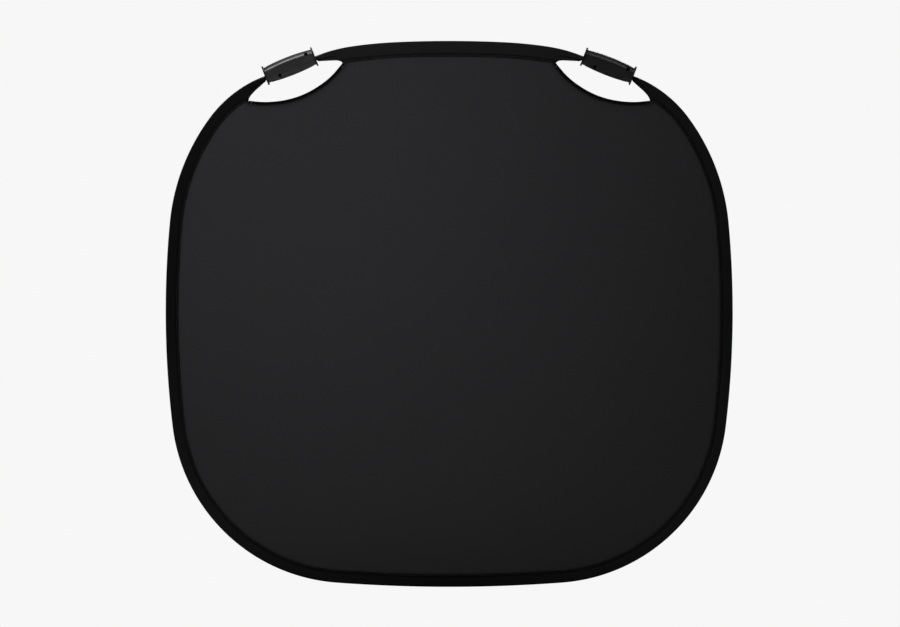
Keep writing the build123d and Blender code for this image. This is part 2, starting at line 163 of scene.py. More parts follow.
def line_normals(line):
    """Normals in the panel's plane that point out of the fabric, into the opening (upwards)."""
    d = np.gradient(line, axis=0)
    d /= np.linalg.norm(d, axis=1)[:, None]
    n = np.stack([d[:, 1], -d[:, 0]], axis=1)
    n *= np.where(n[:, 1:] < 0, -1.0, 1.0)
    return n


# ============================================================ mesh helpers
def new_mesh(name, verts_mm, faces, mat, uv=None, attrs=None, smooth_shade=True):
    me = bpy.data.meshes.new(name)
    v = np.asarray(verts_mm, float) * MM
    me.from_pydata(v.tolist(), [], faces if isinstance(faces, list) else faces.tolist())
    me.validate(clean_customdata=False)
    if uv is not None:
        layer = me.uv_layers.new(name="UVMap")
        idx = np.zeros(len(me.loops), np.int32)
        me.loops.foreach_get("vertex_index", idx)
        layer.data.foreach_set("uv", np.asarray(uv, np.float32)[idx].ravel())
    for key, val in (attrs or {}).items():
        a = me.attributes.new(key, "FLOAT", "POINT")
        a.data.foreach_set("value", np.asarray(val, np.float32).ravel())
    if smooth_shade:
        me.polygons.foreach_set("use_smooth", np.ones(len(me.polygons), bool))
    me.materials.append(mat)
    me.update()
    ob = bpy.data.objects.new(name, me)
    bpy.context.scene.collection.objects.link(ob)
    return ob


def strip_faces(nu, nv, close_v=True, flip=False):
    """Quads of a grid of nu sections by nv points, wrapped round in v."""
    i = np.arange(nu - 1)[:, None]
    j = np.arange(nv if close_v else nv - 1)[None, :]
    a, b = i * nv + j, i * nv + (j + 1) % nv
    c, d = (i + 1) * nv + (j + 1) % nv, (i + 1) * nv + j
    q = np.stack([a, b, c, d] if not flip else [a, d, c, b], axis=-1)
    return q.reshape(-1, 4)


def fold(ob):
    """Bakes the piece's placement into its mesh."""
    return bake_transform(ob)


# ============================================================ materials
def material(name):
    m = bpy.data.materials.new(name)
    m.use_nodes = True
    nt = m.node_tree
    return m, nt, nt.nodes["Principled BSDF"]


def node(nt, kind, **settings):
    n = nt.nodes.new(kind)
    for k, v in settings.items():
        setattr(n, k, v)
    return n


def math_node(nt, op, a, b=None, c=None):
    n = node(nt, "ShaderNodeMath", operation=op)
    for i, v in enumerate((a, b, c)):
        if v is None:
            continue
        if isinstance(v, (int, float)):
            n.inputs[i].default_value = v
        else:
            nt.links.new(v, n.inputs[i])
    return n.outputs[0]


def mix_rgb(nt, fac, a, b, kind="MIX"):
    n = node(nt, "ShaderNodeMix", data_type="RGBA", blend_type=kind)
    for sock, v in ((n.inputs[0], fac), (n.inputs[6], a), (n.inputs[7], b)):
        if isinstance(v, (int, float)):
            sock.default_value = v
        elif isinstance(v, tuple):
            sock.default_value = (*v, 1.0)
        else:
            nt.links.new(v, sock)
    return n.outputs[2]


def ramp(nt, fac, stops):
    n = node(nt, "ShaderNodeValToRGB")
    while len(n.color_ramp.elements) < len(stops):
        n.color_ramp.elements.new(0.5)
    for e, (p, c) in zip(n.color_ramp.elements, stops):
        e.position, e.color = p, (c, c, c, 1)
    nt.links.new(fac, n.inputs[0])
    return n.outputs[0]


def remap(nt, v, a, b, c, d):
    n = node(nt, "ShaderNodeMapRange")
    nt.links.new(v, n.inputs[0])
    for i, q in enumerate((a, b, c, d)):
        n.inputs[1 + i].default_value = q
    return n.outputs[0]


def noise(nt, vec, scale, detail=3.0, rough=0.55):
    n = node(nt, "ShaderNodeTexNoise")
    n.inputs["Scale"].default_value = scale
    n.inputs["Detail"].default_value = detail
    n.inputs["Roughness"].default_value = rough
    nt.links.new(vec, n.inputs["Vector"])
    return n.outputs["Fac"]


def bump(nt, height, strength, distance, after=None):
    n = node(nt, "ShaderNodeBump")
    n.inputs["Strength"].default_value = strength
    n.inputs["Distance"].default_value = distance
    nt.links.new(height, n.inputs["Height"])
    if after is not None:
        nt.links.new(after, n.inputs["Normal"])
    return n.outputs["Normal"]


def weave(nt, vec, pitch_u, pitch_v):
    """Height of a plain weave, 0 to 1, and which thread is on top, from metric coordinates."""
    sep = node(nt, "ShaderNodeSeparateXYZ")
    nt.links.new(vec, sep.inputs[0])
    su = math_node(nt, "SINE", math_node(nt, "MULTIPLY", sep.outputs[0], math.pi / pitch_u))
    sv = math_node(nt, "SINE", math_node(nt, "MULTIPLY", sep.outputs[1], math.pi / pitch_v))
    over = math_node(nt, "GREATER_THAN", math_node(nt, "MULTIPLY", su, sv), 0.0)
    au, av = math_node(nt, "ABSOLUTE", su), math_node(nt, "ABSOLUTE", sv)
    top = math_node(nt, "MULTIPLY", over, math_node(nt, "SUBTRACT", au, av))
    return math_node(nt, "ADD", av, top), over


def uv_of(nt):
    n = node(nt, "ShaderNodeUVMap")
    n.uv_map = "UVMap"
    return n.outputs[0]


def attr(nt, name):
    n = node(nt, "ShaderNodeAttribute", attribute_type="GEOMETRY", attribute_name=name)
    return n.outputs["Fac"]


def cloth_material(name, colour, dark, rough, specular, sheen, pitch, edge=None):
    """Stretched woven polyester: plain weave, thread-to-thread and slow colour variation. edge names an attribute that
    darkens the colour: painted shade beside the openings' hems and the tape's seam.
    """
    m, nt, p = material(name)
    uv = uv_of(nt)
    h, over = weave(nt, uv, pitch, pitch * 0.94)
    slub = noise(nt, uv, 260.0, 4.0, 0.65)
    cloud = noise(nt, uv, 9.0, 3.0, 0.5)
    c = mix_rgb(nt, remap(nt, h, 0.15, 1.0, 0.0, 1.0), dark, colour)
    c = mix_rgb(nt, 1.0, c, ramp(nt, slub, [(0.3, 0.86), (0.7, 1.0)]), "MULTIPLY")
    c = mix_rgb(nt, 1.0, c, ramp(nt, cloud, [(0.25, 0.95), (0.75, 1.0)]), "MULTIPLY")
    if edge:
        # painted shade: the edge attribute darkens the colour
        c = mix_rgb(nt, 1.0, c, ramp(nt, attr(nt, edge), [(0.0, 1.0), (0.35, 0.78), (1.0, 0.33)]), "MULTIPLY")
    nt.links.new(c, p.inputs["Base Color"])
    r = remap(nt, slub, 0.2, 0.8, rough - 0.06, min(1.0, rough + 0.06))
    nt.links.new(r, p.inputs["Roughness"])
    n1 = bump(nt, h, 0.35, 0.00012)
    nt.links.new(bump(nt, slub, 0.25, 0.0002, n1), p.inputs["Normal"])
    p.inputs["Specular IOR Level"].default_value = specular
    p.inputs["Sheen Weight"].default_value = sheen
    p.inputs["Sheen Roughness"].default_value = 0.5
    return m


def tape_material(name, colour, band_colour, rough, specular, sheen):
    """Ribbed binding tape. The attribute band turns it into the darker folded and overlocked edge, partly painted
    shade; shade multiplies the colour by painted shade and light: round the rim, in the gathers' creases and on their
    ridges, and where the tape dives into the grip.
    """
    m, nt, p = material(name)
    uv = uv_of(nt)
    sep = node(nt, "ShaderNodeSeparateXYZ")
    nt.links.new(uv, sep.inputs[0])
    jitter = noise(nt, uv, 160.0, 3.0)
    along = math_node(nt, "ADD", sep.outputs[0], math_node(nt, "MULTIPLY", jitter, 0.0006))
    rib = math_node(nt, "ABSOLUTE", math_node(nt, "SINE", math_node(nt, "MULTIPLY", along, math.pi / 0.00105)))
    warp = math_node(nt, "ABSOLUTE", math_node(nt, "SINE", math_node(nt, "MULTIPLY", sep.outputs[1], math.pi / 0.00042)))
    h = math_node(nt, "ADD", math_node(nt, "MULTIPLY", rib, 0.75), math_node(nt, "MULTIPLY", warp, 0.25))
    fuzz = noise(nt, uv, 420.0, 3.0, 0.7)
    cloud = noise(nt, uv, 22.0, 3.0, 0.6)
    dark = tuple(q * 0.62 for q in colour)
    c = mix_rgb(nt, remap(nt, h, 0.1, 1.0, 0.0, 1.0), dark, colour)
    c = mix_rgb(nt, 1.0, c, ramp(nt, fuzz, [(0.3, 0.8), (0.7, 1.0)]), "MULTIPLY")
    c = mix_rgb(nt, 1.0, c, ramp(nt, cloud, [(0.25, 0.9), (0.75, 1.0)]), "MULTIPLY")
    # partly painted shade: the band's darker colour
    c = mix_rgb(nt, attr(nt, "band"), c, band_colour)
    # painted shade and light: the shade attribute scales the colour
    c = mix_rgb(nt, 1.0, c, attr(nt, "shade"), "MULTIPLY")
    nt.links.new(c, p.inputs["Base Color"])
    nt.links.new(remap(nt, fuzz, 0.2, 0.8, rough - 0.07, min(1.0, rough + 0.07)), p.inputs["Roughness"])
    n1 = bump(nt, h, 0.5, 0.0003)
    nt.links.new(bump(nt, fuzz, 0.3, 0.0002, n1), p.inputs["Normal"])
    p.inputs["Specular IOR Level"].default_value = specular
    p.inputs["Sheen Weight"].default_value = sheen
    p.inputs["Sheen Roughness"].default_value = 0.4
    return m


def thread_material(name, colour):
    m, nt, p = material(name)
    tc = node(nt, "ShaderNodeTexCoord").outputs["Object"]
    w = node(nt, "ShaderNodeTexWave", wave_type="BANDS", bands_direction="DIAGONAL")
    w.inputs["Scale"].default_value = 1400.0
    w.inputs["Distortion"].default_value = 2.0
    nt.links.new(tc, w.inputs["Vector"])
    c = mix_rgb(nt, w.outputs["Fac"], tuple(q * 0.5 for q in colour), colour)
    nt.links.new(c, p.inputs["Base Color"])
    nt.links.new(remap(nt, w.outputs["Fac"], 0.0, 1.0, 0.55, 0.4), p.inputs["Roughness"])
    nt.links.new(bump(nt, w.outputs["Fac"], 0.4, 0.0001), p.inputs["Normal"])
    p.inputs["Specular IOR Level"].default_value = 0.35
    return m


def plastic_material(name, colour, rough, grain, side):
    """Satin moulded nylon: fine spark-eroded grain, faint flow marks, and polish from handling."""
    m, nt, p = material(name)
    tc = node(nt, "ShaderNodeTexCoord").outputs["Object"]
    fine = noise(nt, tc, 2600.0, 2.0, 0.6)
    mid = noise(nt, tc, 900.0, 3.0, 0.6)
    worn = noise(nt, tc, 45.0, 5.0, 0.62)
    flow = noise(nt, tc, 120.0, 2.0, 0.5)
    c = mix_rgb(nt, ramp(nt, worn, [(0.35, 0.0), (0.7, 1.0)]), colour, tuple(min(1, q * 1.3) for q in colour))
    c = mix_rgb(nt, 1.0, c, ramp(nt, mid, [(0.3, 0.88), (0.7, 1.0)]), "MULTIPLY")
    # painted shade: the flanges at the grip's two ends are painted near black, darker than the barrel
    a = math.radians(21.4)
    dot = node(nt, "ShaderNodeVectorMath", operation="DOT_PRODUCT")
    nt.links.new(tc, dot.inputs[0])
    dot.inputs[1].default_value = (math.cos(a), 0.0, -side * math.sin(a))
    along = math_node(nt, "SUBTRACT", dot.outputs["Value"], side * 0.337514 * math.cos(a) - side * 0.525054 * math.sin(a))
    painted_flange_shade = remap(nt, math_node(nt, "ABSOLUTE", along), 0.0510, 0.0535, 0.0, 1.0)
    c = mix_rgb(nt, painted_flange_shade, c, (0.0018, 0.0018, 0.0019))
    nt.links.new(c, p.inputs["Base Color"])
    r = math_node(nt, "ADD", remap(nt, worn, 0.3, 0.7, rough + 0.05, rough - 0.06), remap(nt, flow, 0.3, 0.7, -0.02, 0.02))
    nt.links.new(r, p.inputs["Roughness"])
    n1 = bump(nt, fine, grain, 0.00012)
    nt.links.new(bump(nt, mid, grain * 0.8, 0.00015, n1), p.inputs["Normal"])
    p.inputs["Specular IOR Level"].default_value = 0.5
    return m


def metal_material(name, colour, rough, brushed):
    m, nt, p = material(name)
    tc = node(nt, "ShaderNodeTexCoord").outputs["Object"]
    mp = node(nt, "ShaderNodeMapping")
    mp.inputs["Scale"].default_value = brushed
    nt.links.new(tc, mp.inputs["Vector"])
    lines = noise(nt, mp.outputs[0], 900.0, 3.0, 0.6)
    spots = noise(nt, tc, 180.0, 4.0, 0.6)
    c = mix_rgb(nt, ramp(nt, spots, [(0.35, 0.0), (0.75, 1.0)]), colour, tuple(q * 0.7 for q in colour))
    nt.links.new(c, p.inputs["Base Color"])
    nt.links.new(remap(nt, lines, 0.3, 0.7, rough - 0.08, rough + 0.1), p.inputs["Roughness"])
    nt.links.new(bump(nt, lines, 0.2, 0.00008), p.inputs["Normal"])
    p.inputs["Metallic"].default_value = 1.0
    return m


def rubber_material(name, colour):
    m, nt, p = material(name)
    tc = node(nt, "ShaderNodeTexCoord").outputs["Object"]
    g = noise(nt, tc, 1500.0, 3.0, 0.6)
    nt.links.new(mix_rgb(nt, g, tuple(q * 0.7 for q in colour), colour), p.inputs["Base Color"])
    nt.links.new(remap(nt, g, 0.2, 0.8, 0.72, 0.9), p.inputs["Roughness"])
    nt.links.new(bump(nt, g, 0.3, 0.0001), p.inputs["Normal"])
    p.inputs["Specular IOR Level"].default_value = 0.25
    return m


BLACK_CLOTH = cloth_material("black_cloth", (0.0300, 0.0302, 0.0325), (0.0180, 0.0181, 0.0196), 0.88, 0.10, 0.02, 0.00055, edge="edge")
WHITE_CLOTH = cloth_material("white_cloth", (0.80, 0.80, 0.785), (0.62, 0.62, 0.61), 0.85, 0.2, 0.03, 0.00050)
TAPE = tape_material("ribbed_tape", (0.0125, 0.0125, 0.0134), (0.0030, 0.0030, 0.0032), 0.85, 0.04, 0.0)
HEM = tape_material("hem_binding", (0.0066, 0.0066, 0.0070), (0.0006, 0.0006, 0.0007), 0.85, 0.03, 0.0)
THREAD = thread_material("polyester_thread", (0.016, 0.016, 0.017))
WHITE_THREAD = thread_material("polyester_thread_back", (0.02, 0.02, 0.02))
PLASTIC = {side: plastic_material("moulded_nylon_" + word, (0.0085, 0.0085, 0.0089), 0.38, 0.20, side) for side, word in ((-1, "left"), (1, "right"))}
SCREW = metal_material("blackened_screw_steel", (0.012, 0.012, 0.013), 0.45, (1, 1, 1))
SPRING = metal_material("blued_spring_steel", (0.30, 0.31, 0.34), 0.32, (0.05, 1, 1))
CRIMP = metal_material("plated_ferrule_steel", (0.56, 0.55, 0.52), 0.30, (1, 1, 0.1))
RUBBER = rubber_material("liner_rubber", (0.03, 0.03, 0.031))

# ============================================================ rim tape: folded round the hoop, gathered into the grips
# Front half of the section, from the nose (the rim's outer edge) to the inner edge. Tape run, as (place along the section, depth, half thickness).
NOSE = [(0.0, 0.0, 0.0), (0.03, 0.0, 1.3), (0.06, 0.0, 2.5), (0.09, 0.12, 3.45), (0.12, 0.5, 4.25), (0.15, 1.15, 4.78), (0.185, 2.1, 5.02), (0.22, 3.2, 5.02), (0.26, 4.4, 4.82)]
RUN = [0.32, 0.39, 0.46, 0.53, 0.60, 0.66]
BAND = [(0.705, -6.3, 1.66), (0.735, -5.75, 1.36), (0.765, -5.25, 1.42), (0.80, -4.6, 1.72), (0.85, -3.3, 1.80), (0.90, -1.9, 1.78), (0.95, -0.75, 1.70), (0.98, -0.2, 1.48), (1.0, 0.0, 1.18)]
R_OUTER = np.array([q[0] for q in NOSE] + RUN + [q[0] for q in BAND])


def tape_section(w, band, r):
    """Depth and half thickness of the flat tape's front face at section places r, for widths w and band strength (arrays)."""
    w = np.maximum(w, 15.0)[:, None]
    n, b = np.array(NOSE), np.array(BAND)
    end_d, end_y = w - 6.3, 1.66
    q = (r[None, :] - 0.26) / (0.705 - 0.26)
    run_d = 4.4 + (end_d - 4.4) * q
    run_y = 4.82 + (end_y - 4.82) * q + 0.28 * np.sin(np.pi * np.clip(q, 0, 1))
    d = np.where(r[None, :] <= 0.26, np.interp(r, n[:, 0], n[:, 1])[None, :], run_d)
    y = np.where(r[None, :] <= 0.26, np.interp(r, n[:, 0], n[:, 2])[None, :], run_y)
    bd = w + np.interp(r, b[:, 0], b[:, 1])[None, :]
    by = np.interp(r, b[:, 0], b[:, 2])[None, :]
    plain = 1.66 + (1.18 - 1.66) * np.clip((r[None, :] - 0.705) / 0.295, 0, 1) ** 3
    by = by * band[:, None] + plain * (1 - band[:, None])
    inband = r[None, :] > 0.7
    return np.where(inband, bd, d), np.where(inband, by, y)


def bunch_section(w, lo, half, r):
    """Depth and half thickness of the gathered tape: an oval from depth lo to depth w."""
    a = np.pi * np.clip(r, 0, 1) ** 0.82
    c, h = (lo + w)[:, None] / 2, (w - lo)[:, None] / 2
    return c - h * np.cos(a)[None, :], half[:, None] * np.abs(np.sin(a))[None, :] ** 0.8


def tape_widths(s, lower):
    """Distance from the grip's mouth, visible width, gather strength and band strength along the rim."""
    if lower:
        u, tip, wide = s - S_OUT, TIP_OUT, W_LOW
        xs = [-4.0, -1.5, 0.0, 1.5, 4.0, 9.0, 14.0, 19.0, 24.0, 29.0, 34.0, 39.0, 44.0, 49.0, 54.0, 56.5, 58.1]
        ws = [5.2, 5.2, 8.5, 10.4, 12.0, 13.4, 15.0, 16.9, 17.8, 18.8, 20.2, 21.8, 23.0, 24.8, 27.2, 29.0, 31.0]
    else:
        u, tip, wide = S_IN - s, TIP_IN, W_TOP
        xs = [-4.0, -1.5, 0.0, 1.5, 3.9, 7.9, 11.9, 15.9, 19.9, 23.9, 27.9, 31.9, 35.9, 39.9, 43.9, 47.9, 51.9, 53.9]
        ws = [5.2, 5.2, 8.5, 10.8, 13.0, 14.0, 15.3, 16.5, 17.2, 18.5, 19.5, 20.3, 21.0, 22.2, 23.2, 25.0, 27.6, 31.6]
    w = np.interp(u, xs, ws)
    k = np.ones(9) / 9.0
    w_soft = np.convolve(np.pad(w, 4, mode="edge"), k, mode="valid")
    w = np.where((u > 9.0) & (u < xs[-1] - 14.0), w_soft, w)
    past = u - xs[-1]
    if lower:
        w = np.where(past > 0, wide + 4.0 * np.exp(-np.maximum(past, 0) / 26.0), w)
    else:
        w = np.where(past > 0, wide - 1.4 * np.exp(-np.maximum(past, 0) / 12.0), w)
    gather = 1.0 - smooth(u, 2.0, 34.0)
    band = smooth(u, xs[-1] - 5.0, xs[-1] + 3.0)
    return u, w, gather, band


def make_tape(name, t, lower, seed):
    """t is the distance clockwise from the top centre, in millimetres, at each section."""
    x, z, nx, nz, s, side = rim_frame(t)
    u, w, gather, band = tape_widths(s, lower)
    w = w + 0.30 * wobble(t, (173.0, 71.0, 39.0), seed) * smooth(u, 60, 90)
    lo = np.where(u < -0.5, 0.25, 0.0)
    half = np.where(u < -1.0, 4.75, np.interp(u, [0.3, 3.0, 20.0, 40.0], [4.75, 5.5, 5.4, 5.0]))
    half = np.minimum(half, 5.1)
    bd, by = bunch_section(w, lo, half, R_OUTER)
    td, ty = tape_section(w, band, R_OUTER)
    g = gather[:, None]
    d, y = bd * g + td * (1 - g), by * g + ty * (1 - g)
    # where the tape narrows its section is squeezed to the visible width
    last = d[:, -1:]
    body = smooth(d, 1.0, 6.0)
    d = d + (w[:, None] - last) * body * (d / np.maximum(last, 1e-6))
    fronts = []
    for sign, sd in ((-1, seed), (1, seed + 7)):
        rr = R_OUTER[None, :]
        q = np.random.default_rng(sd + int(lower))
        strength = smooth(u, -1.0, 4.0) * (1 - smooth(u, 12.0, 56.0))
        dy = np.zeros_like(y)
        for mid, drift, wide, deep in ((0.40, -0.04, 0.080, 2.6), (0.66, 0.04, 0.085, 3.2), (0.87, 0.03, 0.035, 1.2)):
            mid = mid + (q.random() - 0.5) * 0.05
            reach_ = 0.7 + 0.5 * q.random()
            c = mid + drift * np.clip(u[:, None] / 50.0, 0, 1)
            dy -= deep * np.exp(-(((rr - c) / wide) ** 2)) * (strength[:, None] ** (1.0 / reach_))
            dy += 0.45 * deep * np.exp(-(((rr - c - 1.7 * wide) / (wide * 1.1)) ** 2)) * (strength[:, None] ** (1.0 / reach_))
        dy *= smooth(rr, 0.10, 0.28) * (1 - 0.65 * smooth(rr, 0.9, 1.0))
        # puckers that the seam's stitches draw along the flat tape
        along = wobble(t, (13.5, 17.0, 23.0, 41.0), sd + 3)[:, None]
        pucker = 0.15 * along * smooth(rr, 0.4, 0.68) * (1 - smooth(rr, 0.93, 1.0)) * smooth(u, 45, 75)[:, None]
        slack = 0.12 * wobble(t, (61.0, 97.0, 151.0), sd + 5)[:, None] * np.sin(np.pi * np.clip((rr - 0.25) / 0.45, 0, 1)) * smooth(u, 45, 75)[:, None]
        yy = np.maximum(y + dy + pucker + slack, np.minimum(y, 0.35))
        # painted shade: the folds are darker down in their creases, and the tape is dark where it dives into the grip;
        # painted highlight: the tape is lighter about 18 mm from the grip's mouth, on the gathers' ridges
        crease_painted_light = (1 - 0.92 * np.clip(-dy / 1.4, 0, 1)) * (1 + 0.5 * np.exp(-(((u - 18.0) / 14.0) ** 2)))[:, None]
        mouth_painted_shade = 1 - 0.45 * np.exp(-np.maximum(u, 0) / 12.0)[:, None]
        fronts.append((sign, d, yy, crease_painted_light * mouth_painted_shade))
    inner_keep = [0, 3, 6, 8, 11, 14, 17, 20, len(R_OUTER) - 1]
    rows, uvs, bands, painted_light_rows = [], [], [], []
    across = np.concatenate([[0], np.cumsum(np.hypot(np.diff(td[len(td) // 2]), np.diff(ty[len(ty) // 2])))])
    for sign, dd, yy, dark in fronts:
        order = range(len(R_OUTER) - 1, 0, -1) if sign < 0 else range(0, len(R_OUTER))
        for j in order:
            rows.append((dd[:, j], sign * yy[:, j]))
            uvs.append(sign * across[j])
            # the band along the tape's inner side: a darker folded edge, partly painted shade of its groove
            bands.append(float(R_OUTER[j] > 0.66) * band)
            painted_light_rows.append(dark[:, j])
    # the tape's inside, a tape's thickness in, from the back inner edge round to the front one
    for sign, dd, yy, _ in reversed(fronts):
        dx_, dy_ = np.gradient(dd, axis=1), np.gradient(yy, axis=1)
        ln = np.maximum(np.hypot(dx_, dy_), 1e-6)
        ins_d = dd + 0.55 * dy_ / ln
        ins_y = yy - 0.55 * dx_ / ln
        ins_d[:, 0], ins_y[:, 0] = dd[:, 0] + 0.55, 0.0
        ins_y = np.maximum(ins_y, 0.02)
        keep = reversed(inner_keep) if sign > 0 else inner_keep[1:]
        for j in keep:
            rows.append((ins_d[:, j], sign * ins_y[:, j]))
            uvs.append(sign * across[j])
            bands.append(np.zeros(len(t)))
            painted_light_rows.append(np.ones(len(t)))
    D = np.stack([a for a, _ in rows], axis=1)
    Y = np.stack([b for _, b in rows], axis=1)
    P = np.stack([x[:, None] - D * nx[:, None], Y, z[:, None] - D * nz[:, None]], axis=-1)
    nu, nv = len(t), D.shape[1]
    U = np.stack([np.repeat((t * MM)[:, None], nv, axis=1), np.repeat((np.array(uvs) * MM)[None, :], nu, axis=0)], axis=-1)
    B = np.stack(bands, axis=1)
    faces = strip_faces(nu, nv, True).tolist()
    faces.append(list(range(nv))[::-1])
    faces.append([(nu - 1) * nv + k for k in range(nv)])
    # painted shade and light: the rim factor times the creases' and mouth's factor, carried in the shade attribute
    shade = rim_painted_shade(x, z, nx, nz, lower)[:, None] * np.stack(painted_light_rows, axis=1)
    ob = new_mesh(name, P.reshape(-1, 3), faces, TAPE, uv=U.reshape(-1, 2), attrs={"band": B.ravel(), "shade": shade.ravel()})
    fix_normals(ob)
    return ob


# painted shade and light on the rim tape: brightness factors by bearing for the lower tape, and one lighter factor for
# the top tape, multiplied into the colour
SHADE_AT = (-180.0, -129.0, -90.0, -56.0, -20.0, 20.0, 56.0, 90.0, 129.0, 180.0)
SHADE_LOWER = (0.40, 0.95, 0.36, 0.45, 0.6, 0.75, 0.9, 0.72, 1.15, 0.40)
SHADE_TOP = 1.2


def rim_painted_shade(x, z, nx, nz, lower):
    """Painted shade and light: a brightness factor for the tape round the rim, by the place's bearing from straight up;
    the top tape gets one lifted factor.
    """
    if not lower:
        return np.full_like(x, SHADE_TOP)
    bearing = np.degrees(np.arctan2(x, z))
    return np.interp(bearing, SHADE_AT, SHADE_LOWER)


def fix_normals(ob):
    import bmesh
    bm = bmesh.new()
    bm.from_mesh(ob.data)
    bmesh.ops.recalc_face_normals(bm, faces=bm.faces)
    bm.to_mesh(ob.data)
    bm.free()
    ob.data.update()


def run(a, b, coarse, fine, zones):
    """Distances from a to b, fine inside the zones and coarse elsewhere."""
    out, q = [a], a
    while q < b - 1e-6:
        step = fine if any(lo <= q <= hi for lo, hi in zones) else coarse
        q = min(b, q + step)
        out.append(q)
    if b - out[-2] < 0.4:
        out.pop(-2)
    return np.array(out)


t_top = run(-S_GRIP + 1.0, S_GRIP - 1.0, 4.0, 1.6, [(-S_IN - 4, -S_IN + 62), (S_IN - 62, S_IN + 4)])
t_low = run(S_GRIP + 1.0, 2 * HALF - S_GRIP - 1.0, 4.2, 1.6, [(S_OUT - 4, S_OUT + 66), (2 * HALF - S_OUT - 66, 2 * HALF - S_OUT + 4)])
tape_top = make_tape("rim_tape_top", t_top, False, 11)
tape_low = make_tape("rim_tape_lower", t_low, True, 23)
for ob, nodes in ((tape_top, ("top_sleeve_left", "top_sleeve_right")), (tape_low, ("lower_sleeve_left", "lower_sleeve_right"))):
    fold(ob)
    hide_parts(*nodes)

# ============================================================ front and back cloths
RIM_T = np.arange(-HALF, HALF, 2.0)
rx, rz, rnx, rnz, rs, rside = rim_frame(RIM_T)
rim_tree = KDTree(len(RIM_T))
for i, (a, b) in enumerate(zip(rx, rz)):
    rim_tree.insert((a, b, 0.0), i)
rim_tree.balance()
low_tree = KDTree(len(LOWER_LINE))
for i, (a, b) in enumerate(LOWER_LINE):
    low_tree.insert((a, b, 0.0), i)
low_tree.balance()
LOW_N = line_normals(LOWER_LINE)


def rim_depth(px, pz):
    """Depth inside the rim's outer edge and the distance along it of the nearest point, for arrays."""
    dep, along = np.empty(len(px)), np.empty(len(px))
    for k, (a, b) in enumerate(zip(px, pz)):
        _, i, _ = rim_tree.find((a, b, 0.0))
        dep[k] = -((a - rx[i]) * rnx[i] + (b - rz[i]) * rnz[i])
        along[k] = RIM_T[i]
    return dep, along


def low_distance(px, pz):
    """Distance from the nearer opening's lower edge, positive inside the fabric, and the place along it."""
    dist, along = np.full(len(px), 999.0), np.zeros(len(px))
    near = (np.abs(px) > 130) & (pz > 330)
    for k in np.nonzero(near)[0]:
        a, b = abs(px[k]), pz[k]
        _, i, _ = low_tree.find((a, b, 0.0))
        dist[k] = -((a - LOWER_LINE[i, 0]) * LOW_N[i, 0] + (b - LOWER_LINE[i, 1]) * LOW_N[i, 1])
        if i in (0, len(LOWER_LINE) - 1):
            dist[k] = math.hypot(a - LOWER_LINE[i, 0], b - LOWER_LINE[i, 1])
        along[k] = LOWER_AT[i]
    return dist, along


CLOTH_DEPTH = 17.0
CLOTH_BACK = 1.2  # the cloth's cut edge lies this far behind the opening's edge, inside the hem


def cloth_outline():
    """The cloth's outline as one loop, clockwise from the top centre."""
    low = LOWER_LINE - LOW_N * CLOTH_BACK
    top_r = run(0.0, TIP_IN - 8.0, 5.0, 5.0, [])
    side_r = run(TIP_OUT + 8.0, HALF, 5.2, 5.2, [])
    def at(t):
        x, z, nx, nz, _, _ = rim_frame(np.asarray(t, float))
        return np.stack([x - CLOTH_DEPTH * nx, z - CLOTH_DEPTH * nz], axis=1)
    right = [at(top_r), low[::-1][::1], at(side_r)]
    right = np.concatenate(right)
    left = right[::-1].copy()
    left[:, 0] *= -1
    loop = np.concatenate([right[:-1], left[:-1]])
    loop = np.concatenate([loop[:1], loop[1:]])
    keep = [0]
    for i in range(1, len(loop)):
        if np.linalg.norm(loop[i] - loop[keep[-1]]) > 1.0:
            keep.append(i)
    if np.linalg.norm(loop[keep[-1]] - loop[0]) < 1.0:
        keep.pop()
    return loop[keep]


OUTLINE = cloth_outline()


def inside_loop(px, pz, loop):
    a, b = loop, np.roll(loop, -1, axis=0)
    inside = np.zeros(len(px), bool)
    for (x0, z0), (x1, z1) in zip(a, b):
        if z0 == z1:
            continue
        cross = (z0 > pz) != (z1 > pz)
        inside ^= cross & (px < (x1 - x0) * (pz - z0) / (z1 - z0) + x0)
    return inside


def hex_grid(x0, x1, z0, z1, step):
    rows = np.arange(z0, z1, step * math.sqrt(3) / 2)
    cols = np.arange(x0, x1, step)
    gx, gz = np.meshgrid(cols, rows)
    gx = gx + (np.arange(len(rows))[:, None] % 2) * step / 2
    return gx.ravel(), gz.ravel()


def cloth_points():
    gx, gz = hex_grid(-600, 600, -580, 580, 6.6)
    fine = (np.abs(gx) > 150) & (np.abs(gx) < 480) & (gz > 425)
    hx, hz = hex_grid(-480, 480, 425, 580, 3.4)
    hfine = (np.abs(hx) > 150) & (np.abs(hx) < 480)
    px, pz = np.concatenate([gx[~fine], hx[hfine]]), np.concatenate([gz[~fine], hz[hfine]])
    ok = inside_loop(px, pz, OUTLINE)
    px, pz = px[ok], pz[ok]
    tree = KDTree(len(OUTLINE))
    for i, (a, b) in enumerate(OUTLINE):
        tree.insert((a, b, 0.0), i)
    tree.balance()
    far = np.array([tree.find((a, b, 0.0))[2] > 2.0 for a, b in zip(px, pz)])
    return px[far], pz[far]


def cloth_shape():
    px, pz = cloth_points()
    pts = [Vector((float(a), float(b))) for a, b in OUTLINE] + [Vector((float(a), float(b))) for a, b in zip(px, pz)]
    n = len(OUTLINE)
    edges = [(i, (i + 1) % n) for i in range(n)]
    v, _, f, *_ = delaunay_2d_cdt(pts, edges, [], 1, 1e-4)
    return np.array([(q.x, q.y) for q in v]), [list(q) for q in f]


FLAT, TRIS = cloth_shape()
DEPTH, ALONG = rim_depth(FLAT[:, 0], FLAT[:, 1])
LOWD, LOWA = low_distance(FLAT[:, 0], FLAT[:, 1])


def seam_width(along):
    """The tape's width where the cloth meets it."""
    s = np.abs(along)
    w_low = tape_widths(np.maximum(s, TIP_OUT - 10), True)[1]
    w_top = np.full_like(s, W_TOP)
    return np.where(s < S_GRIP, w_top, w_low)


